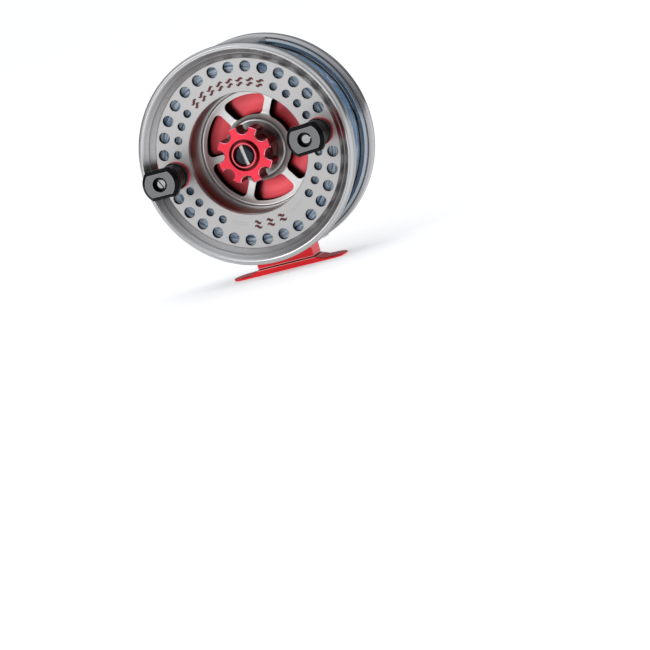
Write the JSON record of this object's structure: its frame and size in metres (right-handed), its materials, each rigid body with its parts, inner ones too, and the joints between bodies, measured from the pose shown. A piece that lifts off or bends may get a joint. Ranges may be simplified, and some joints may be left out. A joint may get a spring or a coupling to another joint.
{
  "type": "trolling reel",
  "caption": "Direct-drive trolling reel: perforated spool with palming rim and twin handles, star drag, caged frame and reel-seat foot.",
  "frame": {"origin": "middle of the foot's underside, where the reel stands on the rod's reel seat", "axes": "+X along the rod towards its tip, +Y along the spool axis from the handle side to the back plate, +Z away from the rod"},
  "size_m": [0.113, 0.076, 0.1195],
  "materials": {
    "machined_aluminium": "turned and polished, with a satin face plate",
    "red_anodised": "bright red anodised",
    "black_knob": "machined satin black",
    "steel": "stainless",
    "bearing_steel": "ground and polished",
    "bronze": "plain bronze",
    "black_screw": "black oxide with a bright slot",
    "acetal": "black acetal",
    "friction_material": "woven carbon brake lining",
    "fishing_line": "clear blue nylon monofilament"
  },
  "bodies": {
    "frame": {"frame_back_plate": "machined_aluminium", "frame_rear_ring": "machined_aluminium", "frame_front_ring": "machined_aluminium", "top_crossbar": "machined_aluminium", "foot_crossbar": "machined_aluminium", "frame_screws_rear": "steel", "frame_screws_front": "steel", "reel_foot": "red_anodised", "foot_screws": "steel", "drag_housing": "red_anodised", "drag_housing_screws": "steel", "spindle": "steel", "spindle_nut": "steel", "rear_cap": "red_anodised", "spindle_screw": "black_screw", "spring_collar": "steel", "spring_washers": "steel", "front_bearing_inner_race": "bearing_steel", "rear_bearing_inner_race": "bearing_steel", "ratchet_bush": "bronze", "ratchet_thrust_washer": "bronze", "dog_pin": "steel"},
    "spool": {"spool_face_plate": "machined_aluminium", "palming_rim": "machined_aluminium", "spool_arbor": "machined_aluminium", "spool_web": "machined_aluminium", "spool_rear_flange": "machined_aluminium", "spool_tie_screws": "steel", "line_winding": "fishing_line", "drag_rotor": "steel", "drag_rotor_screws": "steel", "front_bearing_outer_race": "bearing_steel", "rear_bearing_outer_race": "bearing_steel", "handle_post_1": "steel", "handle_post_2": "steel", "handle_washer_1": "red_anodised", "handle_washer_2": "red_anodised", "handle_screw_1": "steel", "handle_screw_2": "steel"},
    "handle_1": {"handle_knob_1": "black_knob", "handle_bush_1": "acetal"},
    "handle_2": {"handle_knob_2": "black_knob", "handle_bush_2": "acetal"},
    "front_balls": {"front_bearing_balls": "bearing_steel", "front_bearing_cage": "bronze"},
    "rear_balls": {"rear_bearing_balls": "bearing_steel", "rear_bearing_cage": "bronze"},
    "star_washer": {"thrust_washer": "steel"},
    "star": {"drag_star": "red_anodised"},
    "click": {"click_button": "red_anodised", "click_slide": "steel", "click_pin": "steel", "click_pawl": "bronze"},
    "ratchet": {"ratchet_wheel": "steel", "friction_disc": "friction_material"},
    "dog": {"dog_pawl": "steel"}
  },
  "joints": [
    {"name": "spool_spin", "type": "hinge", "parent": "frame", "child": "spool", "pos_m": [0, 0, 0.063], "axis": [0, 1, 0], "continuous": true},
    {"name": "handle_1_spin", "type": "hinge", "parent": "spool", "child": "handle_1", "pos_m": [0.03966, -0.03, 0.06487], "axis": [0, 1, 0], "continuous": true},
    {"name": "handle_2_spin", "type": "hinge", "parent": "spool", "child": "handle_2", "pos_m": [-0.03966, -0.03, 0.06113], "axis": [0, 1, 0], "continuous": true},
    {"name": "front_balls_orbit", "type": "hinge", "parent": "frame", "child": "front_balls", "pos_m": [0, 0, 0.063], "axis": [0, 1, 0], "continuous": true},
    {"name": "rear_balls_orbit", "type": "hinge", "parent": "frame", "child": "rear_balls", "pos_m": [0, 0, 0.063], "axis": [0, 1, 0], "continuous": true},
    {"name": "drag_advance", "type": "slide", "parent": "frame", "child": "star_washer", "axis": [0, 1, 0], "range_m": [0, 0.00084], "deforming": ["spring_washers"]},
    {"name": "drag_star_turn", "type": "hinge", "parent": "star_washer", "child": "star", "pos_m": [0, -0.0145, 0.063], "axis": [0, 1, 0], "range_deg": [0, 300]},
    {"name": "click_slide", "type": "slide", "parent": "frame", "child": "click", "axis": [0, 0, -1], "range_m": [0, 0.0015]},
    {"name": "ratchet_spin", "type": "hinge", "parent": "frame", "child": "ratchet", "pos_m": [0, 0.016, 0.063], "axis": [0, 1, 0], "continuous": true},
    {"name": "dog_swing", "type": "hinge", "parent": "frame", "child": "dog", "pos_m": [0.012, 0.016, 0.04222], "axis": [0, -1, 0], "range_deg": [0, 7]}
  ],
  "couplings": [
    {"joint": "front_balls_orbit", "follows": "spool_spin", "ratio": 0.6},
    {"joint": "rear_balls_orbit", "follows": "spool_spin", "ratio": 0.6},
    {"joint": "drag_advance", "follows": "drag_star_turn", "m_per_rad": 0.00015915}
  ]
}
